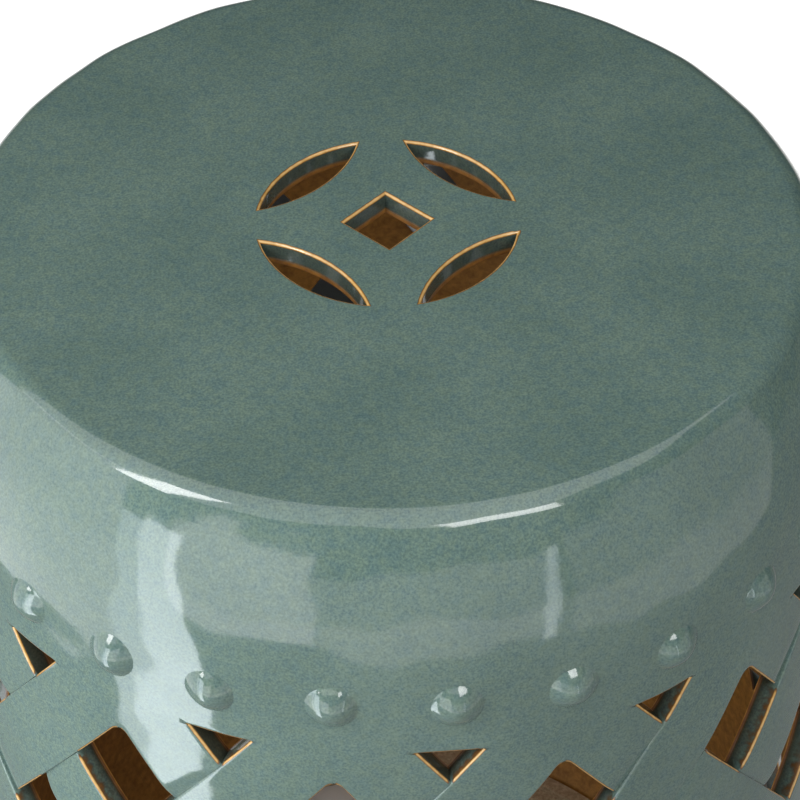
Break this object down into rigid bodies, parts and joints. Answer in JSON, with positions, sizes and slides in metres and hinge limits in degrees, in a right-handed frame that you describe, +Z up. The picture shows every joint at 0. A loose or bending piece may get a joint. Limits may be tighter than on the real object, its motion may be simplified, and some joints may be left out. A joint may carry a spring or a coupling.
{
  "type": "ceramic garden stool",
  "caption": "Barrel-shaped glazed ceramic stool with a pierced seat, a woven lattice wall and rows of round bosses.",
  "frame": {"origin": "on the floor, at the centre of the foot ring", "axes": "+Z up through the centre of the seat; -Y to the front, where one corner of the coin's square hole points"},
  "size_m": [0.35, 0.35, 0.457],
  "materials": {
    "celadon_glaze": "gloss",
    "bare_clay": "matte"
  },
  "bodies": {
    "root": {"seat_slab": "celadon_glaze", "shoulder_band": "celadon_glaze", "lower_band": "celadon_glaze", "foot_ring": "bare_clay", "upper_bosses": "celadon_glaze", "lower_bosses": "celadon_glaze", "rising_strap_01": "celadon_glaze", "rising_strap_02": "celadon_glaze", "rising_strap_03": "celadon_glaze", "rising_strap_04": "celadon_glaze", "rising_strap_05": "celadon_glaze", "rising_strap_06": "celadon_glaze", "rising_strap_07": "celadon_glaze", "rising_strap_08": "celadon_glaze", "rising_strap_09": "celadon_glaze", "rising_strap_10": "celadon_glaze", "rising_strap_11": "celadon_glaze", "rising_strap_12": "celadon_glaze", "rising_strap_13": "celadon_glaze", "rising_strap_14": "celadon_glaze", "falling_strap_01": "celadon_glaze", "falling_strap_02": "celadon_glaze", "falling_strap_03": "celadon_glaze", "falling_strap_04": "celadon_glaze", "falling_strap_05": "celadon_glaze", "falling_strap_06": "celadon_glaze", "falling_strap_07": "celadon_glaze", "falling_strap_08": "celadon_glaze", "falling_strap_09": "celadon_glaze", "falling_strap_10": "celadon_glaze", "falling_strap_11": "celadon_glaze", "falling_strap_12": "celadon_glaze", "falling_strap_13": "celadon_glaze", "falling_strap_14": "celadon_glaze"}
  },
  "joints": []
}
